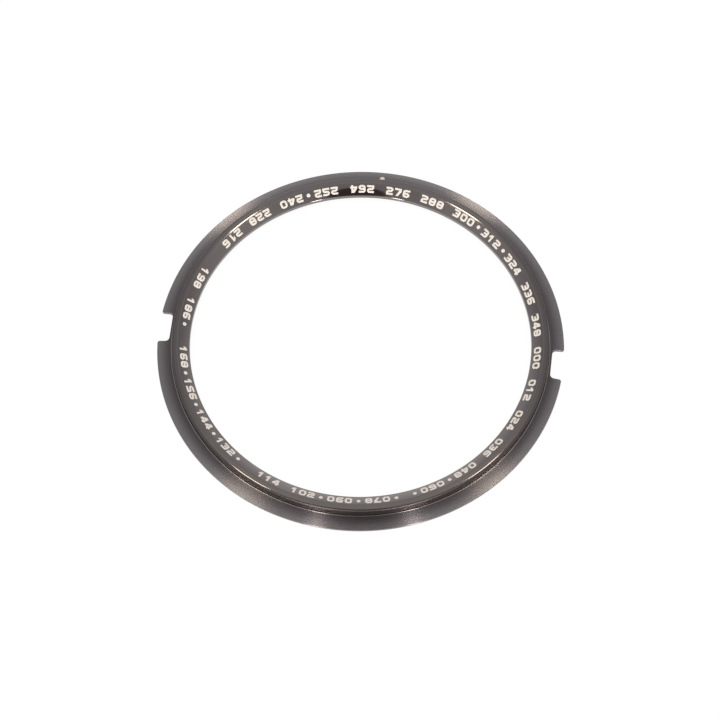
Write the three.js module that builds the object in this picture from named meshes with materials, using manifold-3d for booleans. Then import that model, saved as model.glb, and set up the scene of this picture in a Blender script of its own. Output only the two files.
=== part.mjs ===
// A fixed bezel ring for a wristwatch: a satin flange with two notches, a polished scale ring seated in it,
// and the lacquer dots that mark places on both.
//
// Millimetres. The origin is the centre of the flange's flat underside. +Z points out of the watch's face,
// +Y to 12 o'clock and +X to 3 o'clock. Every section is drawn in radius and height, and turned about Z.

import * as THREE from "three";
import { mergeVertices } from "three/addons/utils/BufferGeometryUtils.js";
import Module from "manifold-3d";

// The opening and the scale ring, from the inside out.
const OPENING_RADIUS = 17.58;
const LIP_HEIGHT = 0.35;
const LIP_LIFT = 0.18;
const LIP_DRAFT = 0.02;
const LIP_EDGE_RADIUS = 0.1;
const SCALE_RING_WIDTH = 1.87;
const RING_FOOT_CHAMFER = 0.05;

// The crowned face, which rises from the lip to the crest, and the crest's land and edges. The face's radius
// is the one that joins them.
const LIP_SLOPE = THREE.MathUtils.degToRad(31);
const CREST_SLOPE = THREE.MathUtils.degToRad(24);
const CREST_INNER_RADIUS = 0.28;
const LAND_WIDTH = 0.34;
const LAND_FALL = THREE.MathUtils.degToRad(11);
const CREST_OUTER_RADIUS = 0.35;
const SHOULDER_FALL = THREE.MathUtils.degToRad(50);
const SHOULDER_EDGE_RADIUS = 0.05;

// The spigot under the scale ring, which centres it in the flange and clears the case's neck.
const LIP_REACH = 0.42;
const SPIGOT_WALL = 0.32;
const SPIGOT_DEPTH = 0.26;
const SPIGOT_CHAMFER = 0.05;

// The flange, from the scale ring out to the rim.
const SEAM_WIDTH = 0.03;
const FLANGE_WIDTH = 1.52;
const RIM_HEIGHT = 0.22;
const FLANGE_RISE = 0.3;
const REBATE_DEPTH = 0.16;
const SEAM_EDGE_BREAK = 0.06;
const RIM_EDGE_RADIUS = 0.08;
const RIM_FOOT_CHAMFER = 0.04;
const BORE_CHAMFER = 0.05;

// Clearances between the rings: round the spigot, and under the scale ring.
const SPIGOT_CLEARANCE = 0.02;
const SEAT_CLEARANCE = 0.02;

// The notches at 12 and 6 o'clock, which key the flange in its case.
const NOTCH_WIDTH = 3.3;
const NOTCH_WEB = 0.26;
const NOTCH_FLOOR_RADIUS = 0.4;
const NOTCH_MOUTH_RADIUS = 0.22;
const NOTCH_ANGLES = [0, Math.PI];

// The lacquer dots. A step is a sixtieth of a turn, counted clockwise from 12 o'clock.
const STEPS_PER_TURN = 60;
const DOT_STEPS = [9, 11, 12, 14, 16, 21, 23, 25, 27, 30, 41, 51, 53];
const DOT_DIAMETER = 0.4;
const DOT_PLACE_SHARE = 0.58;
const INDEX_STEP = 45;
const INDEX_DIAMETER = 0.5;
const INDEX_INSET = 0.65;
const LACQUER_DEPTH = 0.06;
const LACQUER_PROUD = 0.015;
const LACQUER_CLEARANCE = 0.01;

// How finely the round surfaces are cut, and how far a cutter runs past what it cuts.
const RING_SEGMENTS = 120;
const ARC_STEPS = 3;
const EDGE_STEPS = 2;
const NOTCH_ARC_STEPS = 4;
const DOT_SEGMENTS = 18;
const OVERRUN = 0.5;

// Radii and heights that follow from the sizes above.
const ringRadius = OPENING_RADIUS + SCALE_RING_WIDTH;
const seamRadius = ringRadius + SEAM_WIDTH;
const rimRadius = seamRadius + FLANGE_WIDTH;
const spigotInnerRadius = OPENING_RADIUS + LIP_REACH;
const spigotOuterRadius = spigotInnerRadius + SPIGOT_WALL;
const boreRadius = spigotOuterRadius + SPIGOT_CLEARANCE;
const seamHeight = RIM_HEIGHT + FLANGE_RISE;
const seatHeight = seamHeight - REBATE_DEPTH;
const ringFootHeight = seatHeight + SEAT_CLEARANCE;
const lipFootHeight = ringFootHeight + LIP_LIFT;
const lipTopRadius = OPENING_RADIUS + LIP_DRAFT;
const lipTopHeight = lipFootHeight + LIP_HEIGHT;
const flangeSlope = Math.atan2(FLANGE_RISE, FLANGE_WIDTH);
const notchFloorDistance = seamRadius + NOTCH_WEB;
const dotSlope = THREE.MathUtils.lerp(LIP_SLOPE, CREST_SLOPE, DOT_PLACE_SHARE);

const wasm = await Module();
wasm.setup();

// Points on an arc about (x, y), from one angle to another, both ends included.
function arc(x, y, radius, from, to, steps) {
  const points = [];
  for (let i = 0; i <= steps; i += 1) {
    const angle = from + ((to - from) * i) / steps;
    points.push(new THREE.Vector2(x + radius * Math.cos(angle), y + radius * Math.sin(angle)));
  }
  return points;
}

// The corner at a point, rounded: an arc tangent to the lines that come from the last point and go to the
// next one. All three are Vector2, and the outline runs counter-clockwise round the solid.
function roundedCorner(last, corner, next, radius, steps) {
  const back = last.clone().sub(corner).normalize();
  const on = next.clone().sub(corner).normalize();
  const half = Math.acos(back.dot(on)) / 2;
  const centre = back.clone().add(on).normalize().multiplyScalar(radius / Math.sin(half)).add(corner);
  const start = back.multiplyScalar(radius / Math.tan(half)).add(corner).sub(centre);
  const end = on.multiplyScalar(radius / Math.tan(half)).add(corner).sub(centre);
  const from = start.angle();
  const sweep = Math.atan2(start.cross(end), start.dot(end));
  return arc(centre.x, centre.y, radius, from, from + sweep, steps);
}

// A closed mesh as a solid for cutting, with its shared vertices merged.
function solidOf(geometry) {
  const bare = geometry.clone();
  bare.deleteAttribute("normal");
  bare.deleteAttribute("uv");
  const merged = mergeVertices(bare);
  const vertProperties = merged.getAttribute("position").array;
  const triVerts = new Uint32Array(merged.index.array);
  return new wasm.Manifold(new wasm.Mesh({ numProp: 3, vertProperties, triVerts }));
}

// A cut solid back as a geometry with one normal per face.
function geometryOf(solid) {
  const mesh = solid.getMesh();
  const geometry = new THREE.BufferGeometry();
  geometry.setAttribute("position", new THREE.BufferAttribute(mesh.vertProperties, 3));
  geometry.setIndex(new THREE.BufferAttribute(mesh.triVerts, 1));
  const faceted = geometry.toNonIndexed();
  faceted.computeVertexNormals();
  return faceted;
}

// A section, counter-clockwise in radius and height, turned once about Z.
function turned(section) {
  const closed = [...section, section[0]];
  const geometry = new THREE.LatheGeometry(closed, RING_SEGMENTS);
  geometry.rotateX(Math.PI / 2);
  return geometry;
}

// The moves along an arc whose outward normal leans from one tilt to another. Tilts are measured from +Z, and
// are positive away from the axis.
function bend(radius, from, to, steps) {
  const moves = [];
  for (let i = 0; i < steps; i += 1) {
    const start = from + ((to - from) * i) / steps;
    const end = start + (to - from) / steps;
    const move = new THREE.Vector2(Math.sin(end) - Math.sin(start), Math.cos(end) - Math.cos(start));
    moves.push(move.multiplyScalar(radius));
  }
  return moves;
}

// The points that a run of moves passes through, its start included.
function followed(start, moves) {
  const points = [start.clone()];
  for (const move of moves) {
    points.push(points.at(-1).clone().add(move));
  }
  return points;
}

// The line over the scale ring from the lip's top out to the wall's, and a function that finds a place on the
// crowned face by its slope.
function crestLine() {
  const lipTilt = Math.atan2(LIP_DRAFT, LIP_HEIGHT) - Math.PI / 2;
  const lipTop = new THREE.Vector2(lipTopRadius, lipTopHeight);
  const lipEdge = bend(LIP_EDGE_RADIUS, lipTilt, -LIP_SLOPE, EDGE_STEPS);
  const innerEdge = bend(CREST_INNER_RADIUS, -CREST_SLOPE, LAND_FALL, ARC_STEPS);
  const land = new THREE.Vector2(Math.cos(LAND_FALL), -Math.sin(LAND_FALL)).multiplyScalar(LAND_WIDTH);
  const outerEdge = bend(CREST_OUTER_RADIUS, LAND_FALL, SHOULDER_FALL, ARC_STEPS);
  const shoulder = bend(SHOULDER_EDGE_RADIUS, SHOULDER_FALL, Math.PI / 2, EDGE_STEPS);
  const crest = [...innerEdge, land, ...outerEdge, ...shoulder];
  const taken = [...lipEdge, ...crest].reduce((sum, move) => sum + move.x, 0);
  const faceRadius = (ringRadius - lipTopRadius - taken) / (Math.sin(LIP_SLOPE) - Math.sin(CREST_SLOPE));
  const face = bend(faceRadius, -LIP_SLOPE, -CREST_SLOPE, ARC_STEPS);
  const faceFoot = followed(lipTop, lipEdge).at(-1);
  const placeAt = (slope) => faceFoot.clone().add(bend(faceRadius, -LIP_SLOPE, -slope, 1)[0]);
  return { line: followed(lipTop, [...lipEdge, ...face, ...crest]), placeAt };
}

// The scale ring's section: lip, crowned face, crest, wall, foot and spigot.
function scaleRingSection() {
  const spigotFoot = ringFootHeight - SPIGOT_DEPTH;
  return [
    new THREE.Vector2(spigotInnerRadius, lipFootHeight),
    new THREE.Vector2(spigotInnerRadius, spigotFoot),
    new THREE.Vector2(spigotOuterRadius - SPIGOT_CHAMFER, spigotFoot),
    new THREE.Vector2(spigotOuterRadius, spigotFoot + SPIGOT_CHAMFER),
    new THREE.Vector2(spigotOuterRadius, ringFootHeight),
    new THREE.Vector2(ringRadius - RING_FOOT_CHAMFER, ringFootHeight),
    new THREE.Vector2(ringRadius, ringFootHeight + RING_FOOT_CHAMFER),
    ...crestLine().line.reverse(),
    new THREE.Vector2(OPENING_RADIUS, lipFootHeight),
  ];
}

// The flange's section: flat underside, rim, sloping brim, rebate, seat and bore.
function flangeSection() {
  const brimTop = new THREE.Vector2(seamRadius, seamHeight);
  const rimTop = new THREE.Vector2(rimRadius, RIM_HEIGHT);
  const rimFoot = new THREE.Vector2(rimRadius, 0);
  const breakDrop = SEAM_EDGE_BREAK * Math.tan(flangeSlope);
  return [
    new THREE.Vector2(boreRadius + BORE_CHAMFER, 0),
    new THREE.Vector2(rimRadius - RIM_FOOT_CHAMFER, 0),
    new THREE.Vector2(rimRadius, RIM_FOOT_CHAMFER),
    ...roundedCorner(rimFoot, rimTop, brimTop, RIM_EDGE_RADIUS, EDGE_STEPS),
    new THREE.Vector2(seamRadius + SEAM_EDGE_BREAK, seamHeight - breakDrop),
    new THREE.Vector2(seamRadius, seamHeight - SEAM_EDGE_BREAK),
    new THREE.Vector2(seamRadius, seatHeight),
    new THREE.Vector2(boreRadius, seatHeight),
    new THREE.Vector2(boreRadius, BORE_CHAMFER),
  ];
}

// The outline of one notch seen from above, at 12 o'clock: a flat floor with rounded corners, straight sides,
// and a mouth whose corners are rounded into the rim.
function notchOutline() {
  const half = NOTCH_WIDTH / 2;
  const floor = notchFloorDistance;
  const mouthX = half + NOTCH_MOUTH_RADIUS;
  const mouthY = Math.sqrt((rimRadius - NOTCH_MOUTH_RADIUS) ** 2 - mouthX ** 2);
  const rimAngle = Math.atan2(mouthY, mouthX);
  const beyond = rimRadius + OVERRUN;
  const cornerX = half - NOTCH_FLOOR_RADIUS;
  const cornerY = floor + NOTCH_FLOOR_RADIUS;
  const right = [
    ...arc(cornerX, cornerY, NOTCH_FLOOR_RADIUS, -Math.PI / 2, 0, NOTCH_ARC_STEPS),
    ...arc(mouthX, mouthY, NOTCH_MOUTH_RADIUS, Math.PI, rimAngle, NOTCH_ARC_STEPS),
    new THREE.Vector2(mouthX, beyond),
  ];
  const left = right.map((point) => new THREE.Vector2(-point.x, point.y)).reverse();
  return new THREE.Shape([...right, ...left]);
}

// A solid that cuts one notch, turned clockwise from 12 o'clock by the angle.
function notchCutter(angle) {
  const height = seamHeight + OVERRUN + OVERRUN;
  const geometry = new THREE.ExtrudeGeometry(notchOutline(), { depth: height, bevelEnabled: false });
  geometry.translate(0, 0, -OVERRUN);
  geometry.rotateZ(-angle);
  return solidOf(geometry);
}

// A group at a step of the circle, whose Y axis points outwards along the slope and whose Z axis stands
// square on the surface there. The rise is the angle of the surface above level, going outwards.
function placeOnSlope(step, radius, height, rise) {
  const turn = new THREE.Group();
  turn.rotation.z = (-2 * Math.PI * step) / STEPS_PER_TURN;
  const seat = new THREE.Group();
  seat.position.set(0, radius, height);
  seat.rotation.x = rise;
  turn.add(seat);
  turn.updateMatrixWorld(true);
  return { turn, seat };
}

// The lacquer dot's upright disc, standing in its dimple and a little proud of the metal.
function lacquerDisc(diameter) {
  const depth = LACQUER_DEPTH - LACQUER_CLEARANCE + LACQUER_PROUD;
  const radius = diameter / 2 - LACQUER_CLEARANCE;
  const geometry = new THREE.CylinderGeometry(radius, radius, depth, DOT_SEGMENTS);
  geometry.rotateX(Math.PI / 2);
  geometry.translate(0, 0, LACQUER_PROUD - depth / 2);
  return geometry;
}

// A solid that cuts a dot's dimple at the place of a seat.
function dimpleCutter(diameter, seat) {
  const depth = LACQUER_DEPTH + OVERRUN;
  const geometry = new THREE.CylinderGeometry(diameter / 2, diameter / 2, depth, DOT_SEGMENTS);
  geometry.rotateX(Math.PI / 2);
  geometry.translate(0, 0, OVERRUN - depth / 2);
  geometry.applyMatrix4(seat.matrixWorld);
  return solidOf(geometry);
}

function metal(color, roughness) {
  return new THREE.MeshStandardMaterial({ color, roughness, metalness: 1 });
}

function lacquer() {
  return new THREE.MeshStandardMaterial({ color: 0xe4ddd7, roughness: 0.45, metalness: 0 });
}

function named(name, geometry, material) {
  const mesh = new THREE.Mesh(geometry, material);
  mesh.name = name;
  return mesh;
}

const dotPlace = crestLine().placeAt(dotSlope);
const indexRadius = seamRadius + INDEX_INSET;
const indexHeight = seamHeight - INDEX_INSET * Math.tan(flangeSlope);

const bezel = new THREE.Group();

// The scale ring, with a dimple for each dot.
let ring = solidOf(turned(scaleRingSection()));
for (const step of DOT_STEPS) {
  const place = placeOnSlope(step, dotPlace.x, dotPlace.y, dotSlope);
  ring = ring.subtract(dimpleCutter(DOT_DIAMETER, place.seat));
  const name = `step_dot_${String(step).padStart(2, "0")}`;
  place.seat.add(named(name, lacquerDisc(DOT_DIAMETER), lacquer()));
  bezel.add(place.turn);
}
bezel.add(named("scale_ring", geometryOf(ring), metal(0x6d686a, 0.18)));

// The flange, with its notches and the index dot's dimple.
let flange = solidOf(turned(flangeSection()));
for (const angle of NOTCH_ANGLES) {
  flange = flange.subtract(notchCutter(angle));
}
const index = placeOnSlope(INDEX_STEP, indexRadius, indexHeight, -flangeSlope);
flange = flange.subtract(dimpleCutter(INDEX_DIAMETER, index.seat));
index.seat.add(named("index_dot", lacquerDisc(INDEX_DIAMETER), lacquer()));
bezel.add(index.turn);
bezel.add(named("bezel_flange", geometryOf(flange), metal(0x5f5b5e, 0.42)));

export default bezel;
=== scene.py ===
"""A fixed bezel ring for a wristwatch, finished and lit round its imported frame.

Lengths are metres, and millimetres inside the shaders. The origin is the centre of the flange's flat
underside, +Z points out of the watch's face, +Y to 12 o'clock and +X to 3 o'clock. A step is a sixtieth of a
turn, counted clockwise from 12 o'clock. Sections are drawn in radius and height, counter-clockwise round the
solid.
"""

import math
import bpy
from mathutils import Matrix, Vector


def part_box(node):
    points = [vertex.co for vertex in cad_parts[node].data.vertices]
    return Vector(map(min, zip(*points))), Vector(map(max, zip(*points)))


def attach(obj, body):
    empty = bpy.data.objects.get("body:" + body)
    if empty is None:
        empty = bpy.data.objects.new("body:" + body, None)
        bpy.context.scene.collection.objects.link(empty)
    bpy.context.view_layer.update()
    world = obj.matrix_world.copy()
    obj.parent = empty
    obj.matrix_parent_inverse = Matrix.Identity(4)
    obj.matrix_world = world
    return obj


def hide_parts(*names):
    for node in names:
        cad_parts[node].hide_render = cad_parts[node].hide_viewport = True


bl_info = {
    "name": "Watch Bezel",
    "version": (1, 0, 0),
    "blender": (4, 5, 0),
    "location": "3D View > Sidebar > Bezel",
    "description": "Builds a fixed watch bezel ring, its finishes and a plain studio round its packed frame",
    "category": "Add Mesh",
}

import bpy
import numpy as np
from bpy.props import FloatProperty, FloatVectorProperty, PointerProperty
from mathutils import Matrix, Vector
from mathutils.geometry import tessellate_polygon

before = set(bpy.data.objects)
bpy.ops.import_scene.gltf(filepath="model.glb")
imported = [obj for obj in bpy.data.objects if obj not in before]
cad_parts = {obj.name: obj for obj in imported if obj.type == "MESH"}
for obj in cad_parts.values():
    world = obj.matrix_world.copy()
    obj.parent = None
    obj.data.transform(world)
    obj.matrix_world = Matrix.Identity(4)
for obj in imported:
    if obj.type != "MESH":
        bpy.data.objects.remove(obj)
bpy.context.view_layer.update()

MM = 0.001
UM = 0.001 * MM

# How far beyond a rounded edge one more row of points stands, which keeps the shading of its sides flat.
EDGE_SUPPORT = 0.012 * MM

# The steps at which the figures stand, and those among which their tops point inwards.
STEPS_PER_TURN = 60
FIGURE_STEPS = (
    0, 2, 4, 6, 8, 10, 13, 15, 17, 19, 22, 24, 26, 28,
    31, 33, 36, 38, 40, 42, 44, 46, 48, 50, 52, 54, 56, 58,
)
INWARD_STEPS = range(16, 46)

# Steps along each part of the flange's outer line, from the middle of a notch's floor to 3 o'clock.
FLOOR_STEPS = 8
CORNER_STEPS = 10
SIDE_STEPS = 6
MOUTH_STEPS = 8
RIM_STEPS = 170

# Steps round the rim's rounded edge, and across the brim.
RIM_EDGE_STEPS = 7
BRIM_STEPS = 8

# Where the spokes to a notch's line start on the seam, in degrees from 12 o'clock: for the middle of its
# floor, both ends of the floor's corner, both ends of the mouth's corner, and the place on the rim from
# which the spokes run straight outwards.
NOTCH_FAN = (0, 3.9, 5.4, 6.1, 6.7, 9.0)

# The lamps: side, kind, azimuth and lean of the surface that mirrors the lamp to the camera, in degrees, and
# radiance.
LAMPS = (
    ("right", "box", -50, 18.5, 11.0),
    ("left", "box", -127, 18.5, 10.5),
    ("right", "strip", -76, 41, 3.7),
    ("right", "foot", -76, 52, 20.0),
    ("left", "strip", -104, 41, 3.7),
    ("left", "foot", -104, 52, 20.0),
)


def node_radii(node):
    """The smallest and largest distance from the Z axis among a CAD node's points."""
    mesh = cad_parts[node].data
    points = np.empty(3 * len(mesh.vertices), np.float32)
    mesh.vertices.foreach_get("co", points)
    radii = np.hypot(points[0::3], points[1::3])
    return float(radii.min()), float(radii.max())


OPENING_RADIUS, RING_RADIUS = node_radii("scale_ring")
BORE_RADIUS, RIM_RADIUS = node_radii("bezel_flange")
SPIGOT_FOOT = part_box("scale_ring")[0].z
CREST_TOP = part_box("scale_ring")[1].z


# Settings


def length(name, default, description, lowest=0.0):
    """A length property, in metres."""
    return FloatProperty(
        name=name,
        description=description,
        default=default,
        min=lowest,
        precision=6,
        unit="LENGTH",
        subtype="DISTANCE",
    )


def angle(name, degrees, description):
    """An angle property, given in degrees."""
    return FloatProperty(
        name=name, description=description, default=math.radians(degrees), subtype="ANGLE", unit="ROTATION"
    )


def colour(name, default, description):
    """A colour property, as linear light."""
    return FloatVectorProperty(
        name=name, description=description, default=default, min=0.0, max=1.0, size=3, subtype="COLOR"
    )


def share(name, default, description):
    """A plain number from 0 to 1."""
    return FloatProperty(name=name, description=description, default=default, min=0.0, max=1.0)


def number(name, default, description):
    """A plain number from 0 up."""
    return FloatProperty(name=name, description=description, default=default, min=0.0)


class ScaleRingSizes(bpy.types.PropertyGroup):
    """Sizes of the scale ring's section, from the inside out."""

    opening_radius: length("Opening radius", OPENING_RADIUS, "Radius of the opening at the lip's foot")
    outer_radius: length("Outer radius", RING_RADIUS, "Radius of the upright outer wall")
    crest_top: length("Crest top", CREST_TOP, "Height of the crest above the flange's underside")
    spigot_foot: length("Spigot foot", SPIGOT_FOOT, "Height of the spigot's lower end")
    foot_height: length("Foot height", 0.38 * MM, "Height of the face that sits on the flange")
    lip_height: length("Lip height", 0.35 * MM, "Height of the upright inner lip, up to its rounded edge")
    lip_draft: length("Lip draft", 0.02 * MM, "How far the lip leans outwards over its height")
    lip_edge: length("Lip edge", 0.1 * MM, "Radius of the edge between the lip and the face")
    lip_foot_edge: length("Lip foot edge", 0.025 * MM, "Radius of the lip's lower edge")
    lip_slope: angle("Slope by the lip", 31.0, "Rise of the crowned face at its inner end")
    crest_slope: angle("Slope by the crest", 24.0, "Rise of the crowned face at its outer end")
    crest_inner_radius: length("Crest inner radius", 0.28 * MM, "Radius of the edge between face and land")
    land_width: length("Land width", 0.34 * MM, "Width of the land on top of the crest")
    land_fall: angle("Land fall", 11.0, "Fall of the land, going outwards")
    crest_outer_radius: length("Crest outer radius", 0.35 * MM, "Radius of the shoulder outside the land")
    shoulder_fall: angle("Shoulder fall", 50.0, "Fall of the shoulder's outer end")
    shoulder_edge: length("Shoulder edge", 0.03 * MM, "Radius of the edge between the shoulder and the wall")
    foot_edge: length("Foot edge", 0.04 * MM, "Radius of the wall's lower edge")
    spigot_reach: length("Spigot reach", 0.42 * MM, "From the opening's edge out to the spigot")
    spigot_wall: length("Spigot wall", 0.32 * MM, "Thickness of the spigot")
    spigot_edge: length("Spigot edge", 0.03 * MM, "Radius of the spigot's edges")


class FlangeSizes(bpy.types.PropertyGroup):
    """Sizes of the flange's section and of its notches."""

    bore_radius: length("Bore radius", BORE_RADIUS, "Radius of the bore that the spigot enters")
    rim_radius: length("Rim radius", RIM_RADIUS, "Outer radius")
    seam_width: length("Seam width", 0.03 * MM, "Gap between the scale ring's wall and the flange")
    seam_height: length("Seam height", 0.52 * MM, "Height of the brim at the seam")
    rim_height: length("Rim height", 0.22 * MM, "Height of the brim at the rim")
    seat_height: length("Seat height", 0.36 * MM, "Height of the seat that carries the scale ring")
    seam_edge: length("Seam edge", 0.025 * MM, "Radius of the brim's inner edge")
    bead_width: length("Bead width", 0.05 * MM, "Width of the fine bead along the brim's inner edge")
    groove_width: length("Groove width", 0.10 * MM, "Width of the fine groove outside the bead")
    groove_depth: length("Groove depth", 0.035 * MM, "Depth of that groove")
    groove_middle: share("Groove middle", 0.45, "Where the groove is deepest, as a share of its width")
    groove_edge: length("Groove edge", 0.01 * MM, "Radius of the groove's outer edge and of its bottom")
    rim_edge: length("Rim edge", 0.05 * MM, "Radius of the brim's outer edge")
    foot_edge: length("Foot edge", 0.03 * MM, "Radius of the rim's lower edge and of the seat's corners")
    bore_edge: length("Bore edge", 0.04 * MM, "Radius of the bore's lower edge")
    notch_width: length("Notch width", 3.3 * MM, "Width of a notch between its straight sides")
    notch_web: length("Notch web", 0.26 * MM, "From the seam out to a notch's floor")
    notch_floor_radius: length("Notch floor radius", 0.4 * MM, "Radius of the floor's corners")
    notch_mouth_radius: length("Notch mouth radius", 0.22 * MM, "Radius of the mouth's corners")


class LacquerSizes(bpy.types.PropertyGroup):
    """Sizes of the lacquer dots and figures."""

    dot_diameter: length("Dot diameter", 0.4 * MM, "Diameter of the dots on the scale ring")
    index_diameter: length("Index dot diameter", 0.5 * MM, "Diameter of the dot on the flange")
    thickness: length("Thickness", 0.065 * MM, "Thickness of a dot, most of it under the metal's surface")
    proud: length("Proud", 0.012 * MM, "How far a figure stands above the metal")
    depth: length("Depth", 0.02 * MM, "How far a figure reaches under the metal's surface")
    edge: length("Edge", 0.006 * MM, "Width of the rounded upper edge")
    figure_height: length("Figure height", 0.82 * MM, "Height of a digit along the slope")
    digit_width: length("Digit width", 0.74 * MM, "Width of a digit")
    digit_gap: length("Digit gap", 0.15 * MM, "Gap between digits")
    stroke: length("Stroke", 0.21 * MM, "Width of a digit's strokes")
    corner: length("Corner", 0.26 * MM, "Outer radius of a digit's round corners")
    place_share: share("Place share", 0.54, "Middle of the figures, as a share of the way up the face")


class FinishColours(bpy.types.PropertyGroup):
    """Colours and finish of the metal and the lacquer."""

    satin_inner: colour("Satin by the wall", (0.166, 0.149, 0.160), "The flange's colour beside the seam")
    satin_outer: colour("Satin by the rim", (0.330, 0.305, 0.316), "The flange's colour near the rim")
    rim_line: colour("Rim edge", (0.330, 0.305, 0.300), "The line along the rim's edge")
    # A lighter colour for the bead along the seam: a painted highlight for the thin light line that the
    # seam's edge catches.
    seam_highlight: colour("Seam edge", (0.370, 0.335, 0.330), "The line along the flange's inner edge")
    satin_roughness: share("Satin roughness", 0.27, "Mean roughness of the hairline finish")
    satin_outward: angle("Outward lean", 17.0, "Lean of the hairlines' sides that face outwards")
    satin_inward: angle("Inward lean", 23.0, "Lean of the hairlines' sides that face inwards")
    inward_share: share("Inward share", 0.53, "How much of the hairlines' relief faces inwards")
    polished: colour("Polished", (0.227, 0.203, 0.201), "The scale ring's colour on its face and crest")
    # The lighter colour at the lip is a painted reflection of the bright floor seen through the opening.
    polished_lip_reflection: colour("Polished lip", (0.255, 0.230, 0.228), "The scale ring's colour at its lip")
    polished_shoulder: colour("Shoulder", (0.128, 0.108, 0.104), "The colour of the scale ring's shoulder")
    polished_wall: colour("Wall", (0.236, 0.202, 0.204), "The colour of the scale ring's outer wall")
    polished_roughness: share("Polished roughness", 0.07, "Mean roughness of the polish")
    shoulder_roughness: share("Shoulder roughness", 0.26, "How much rougher the shoulder and the wall are")
    film_roughness: share("Film roughness", 0.36, "Roughness of the thin film of handling on the polish")
    film_share: share("Film share", 0.13, "How much of the reflection comes from that film")
    lacquer: colour("Lacquer", (0.860, 0.805, 0.755), "The colour of the dots and figures")


class StudioSettings(bpy.types.PropertyGroup):
    """The camera, the lamps, the surround and the floor."""

    azimuth: angle("Azimuth", 97.768, "Camera's turn about Z from -Y")
    elevation: angle("Elevation", 61.996, "Camera's height angle")
    roll: angle("Roll", -1.351, "Camera's turn about its own axis")
    distance: length("Distance", 343.007 * MM, "From the camera to the point that it looks at")
    lens: number("Lens", 166.415, "Focal length in millimetres, for a 36 mm sensor")
    aim_side: length("Aim aside", -0.089 * MM, "The aimed point, to the right of the centre", lowest=-1.0)
    aim_back: length("Aim back", -1.520 * MM, "The aimed point, away from the camera", lowest=-1.0)
    lens_radius: length("Lens radius", 58 * MM, "Radius of the camera's dark front")
    lens_front: colour("Lens front", (0.046, 0.012, 0.016), "What the camera's dark front sends out")
    lamp_distance: length("Lamp distance", 1500 * MM, "From the centre to a lamp")
    box_width: length("Box width", 200 * MM, "Width of the two box lamps")
    box_length: length("Box length", 360 * MM, "Length of the two box lamps")
    box_tint: colour("Box tint", (1.0, 0.90, 0.70), "The colour of the box lamps")
    strip_width: length("Strip width", 78 * MM, "Width of the two strip lamps")
    strip_length: length("Strip length", 900 * MM, "Length of the two strip lamps")
    strip_tint: colour("Strip tint", (1.0, 0.93, 0.86), "The colour of the strip lamps and those under them")
    foot_width: length("Foot width", 140 * MM, "Width of the two bright lamps under the strips")
    foot_length: length("Foot length", 600 * MM, "Length of the two bright lamps under the strips")
    surround: share("Surround", 0.62, "Strength of the white surround on matt surfaces")
    overhead: share("Overhead", 0.58, "Level overhead, as gloss sees it")
    far_shade: share("Far shade", 0.2, "How much duller both sides of the far half are")
    near_shade: share("Near shade", 0.11, "How much duller the camera's half is")
    flank_lift: share("Flank lift", 0.13, "How much brighter both sides of the camera's half are")
    glow_lift: share("Glow lift", 0.15, "How much brighter two bands on the far half are")
    stand_shade: share("Stand shade", 0.17, "How much duller it is behind the camera's stand")
    sweep: number("Sweep", 1.05, "Level low down on the far half, where the paper sweeps up")
    floor_white: share("Floor white", 0.9, "The floor's own white, where it is shaded")
    floor_level: number("Floor level", 1.05, "Level of the floor's even white")
    floor_even: share("Even floor", 0.88, "Share of the even white that the camera and gloss see")


# Array geometry


def unit(vectors):
    """Each vector divided by its own length."""
    return vectors / np.linalg.norm(vectors, axis=-1, keepdims=True)


def round_corner(last, corner, ahead, radius, steps, support=0.0):
    """The corner as an arc. Its centre is on the bisector, radius / sin(half angle) from the corner, and its
    ends are radius / tan(half angle) along the two sides. With a support, one more point stands that far
    beyond each end, so that shading stays flat on the sides."""
    last, corner, ahead = (np.asarray(point, float) for point in (last, corner, ahead))
    back, on = unit(last - corner), unit(ahead - corner)
    half = math.acos(float(back @ on)) / 2
    centre = corner + unit(back + on) * radius / math.sin(half)
    reach = radius / math.tan(half)
    start = corner + back * reach - centre
    end = corner + on * reach - centre
    turn = math.atan2(start[0] * end[1] - start[1] * end[0], float(start @ end))
    angles = math.atan2(start[1], start[0]) + turn * np.linspace(0, 1, steps + 1)
    arc = centre + radius * np.stack([np.cos(angles), np.sin(angles)], axis=-1)
    if not support:
        return arc
    return np.vstack([corner + back * (reach + support), arc, corner + on * (reach + support)])


def round_outline(corners, steps, support=0.0):
    """The arcs of a closed outline of (x, y, radius) corners, one for each corner."""
    corners = np.asarray(corners, float)
    trios = zip(np.roll(corners, 1, axis=0), corners, np.roll(corners, -1, axis=0))
    return [
        round_corner(last[:2], corner[:2], ahead[:2], corner[2], steps, support)
        for last, corner, ahead in trios
    ]


def grid_faces(rows, columns, close_rows, close_columns):
    """Four-cornered faces between neighbours on a grid of rows x columns points, numbered row by row."""
    down = np.arange(rows if close_rows else rows - 1)[:, None]
    along = np.arange(columns if close_columns else columns - 1)[None, :]
    above, below = down * columns, (down + 1) % rows * columns
    beside = (along + 1) % columns
    corners = np.broadcast_arrays(above + along, above + beside, below + beside, below + along)
    return np.stack(corners, axis=-1).reshape(-1, 4)


def new_object(name, points, faces, material):
    """A mesh object with one material, linked to the scene."""
    mesh = bpy.data.meshes.new(name)
    mesh.from_pydata(np.asarray(points, float).reshape(-1, 3).tolist(), [], [list(face) for face in faces])
    mesh.validate()
    mesh.materials.append(material)
    made = bpy.data.objects.new(name, mesh)
    bpy.context.scene.collection.objects.link(made)
    return made


def new_piece(name, points, faces, material, replaced=()):
    """A smooth mesh piece at the origin, riding on the root body and standing for CAD nodes."""
    piece = new_object(name, points, faces, material)
    piece.data.shade_smooth()
    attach(piece, "root")
    if replaced:
        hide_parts(*replaced)


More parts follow.
